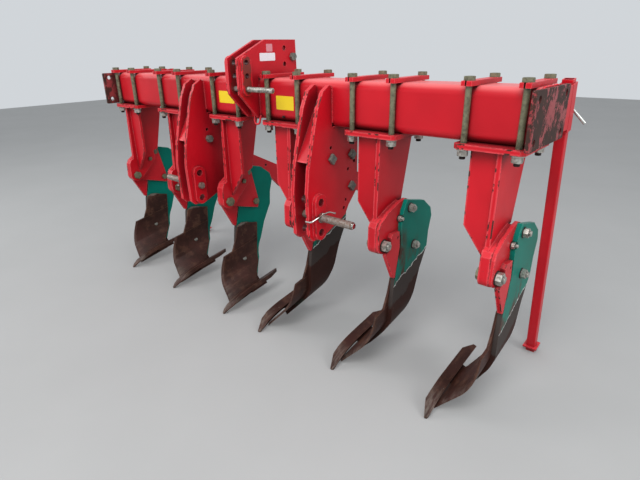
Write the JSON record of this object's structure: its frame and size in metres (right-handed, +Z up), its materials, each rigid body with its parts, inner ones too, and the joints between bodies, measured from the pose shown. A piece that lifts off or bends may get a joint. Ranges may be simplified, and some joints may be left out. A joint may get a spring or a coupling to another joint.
{
  "type": "mounted subsoiler",
  "caption": "Tractor-mounted subsoiler: square beam with clamped legs whose tines bend inwards to shares and points, three-point headstock and parking stands.",
  "frame": {"origin": "on the floor, under the middle of the machine's box", "axes": "+X along the beam to the right, +Y rearwards away from the tractor, +Z up"},
  "size_m": [2.8176, 0.833, 1.503],
  "materials": {
    "frame_paint": "gloss red paint, chipped at the edges",
    "tine_paint": "teal green paint, worn to rust at the bend",
    "worn_steel": "dark rust brown worn steel",
    "bolt_zinc": "olive zinc plating",
    "pin_steel": "worn zinc-plated steel"
  },
  "bodies": {
    "frame": {"clamp_bolts": "bolt_zinc", "clamp_straps": "frame_paint", "end_plate_left": "frame_paint", "end_plate_right": "frame_paint", "frame_bolts": "bolt_zinc", "headstock_left": "frame_paint", "headstock_right": "frame_paint", "leg_1_bracket": "frame_paint", "leg_1_pivot_plate": "frame_paint", "leg_1_point": "worn_steel", "leg_1_share": "worn_steel", "leg_1_shin": "worn_steel", "leg_1_tine": "tine_paint", "leg_2_bracket": "frame_paint", "leg_2_pivot_plate": "frame_paint", "leg_2_point": "worn_steel", "leg_2_share": "worn_steel", "leg_2_shin": "worn_steel", "leg_2_tine": "tine_paint", "leg_3_bracket": "frame_paint", "leg_3_pivot_plate": "frame_paint", "leg_3_point": "worn_steel", "leg_3_share": "worn_steel", "leg_3_shin": "worn_steel", "leg_3_tine": "tine_paint", "leg_4_bracket": "frame_paint", "leg_4_pivot_plate": "frame_paint", "leg_4_point": "worn_steel", "leg_4_share": "worn_steel", "leg_4_shin": "worn_steel", "leg_4_tine": "tine_paint", "leg_5_bracket": "frame_paint", "leg_5_pivot_plate": "frame_paint", "leg_5_point": "worn_steel", "leg_5_share": "worn_steel", "leg_5_shin": "worn_steel", "leg_5_tine": "tine_paint", "leg_6_bracket": "frame_paint", "leg_6_pivot_plate": "frame_paint", "leg_6_point": "worn_steel", "leg_6_share": "worn_steel", "leg_6_shin": "worn_steel", "leg_6_tine": "tine_paint", "leg_bolts": "bolt_zinc", "link_bracket_left": "frame_paint", "link_bracket_right": "frame_paint", "link_pin_left": "pin_steel", "link_pin_right": "pin_steel", "main_beam": "frame_paint", "rear_arm_left": "frame_paint", "rear_arm_right": "frame_paint", "stand_pin_left": "pin_steel", "stand_pin_right": "pin_steel", "stand_socket_left": "frame_paint", "stand_socket_right": "frame_paint", "top_link_pin": "pin_steel"},
    "stand_right": {"stand_right": "frame_paint"},
    "stand_left": {"stand_left": "frame_paint"}
  },
  "joints": [
    {"name": "stand_right_slide", "type": "slide", "parent": "frame", "child": "stand_right", "axis": [0, -0.1198, 0.9928], "range_m": [0, 0.6]},
    {"name": "stand_left_slide", "type": "slide", "parent": "frame", "child": "stand_left", "axis": [0, -0.1198, 0.9928], "range_m": [0, 0.6]}
  ]
}
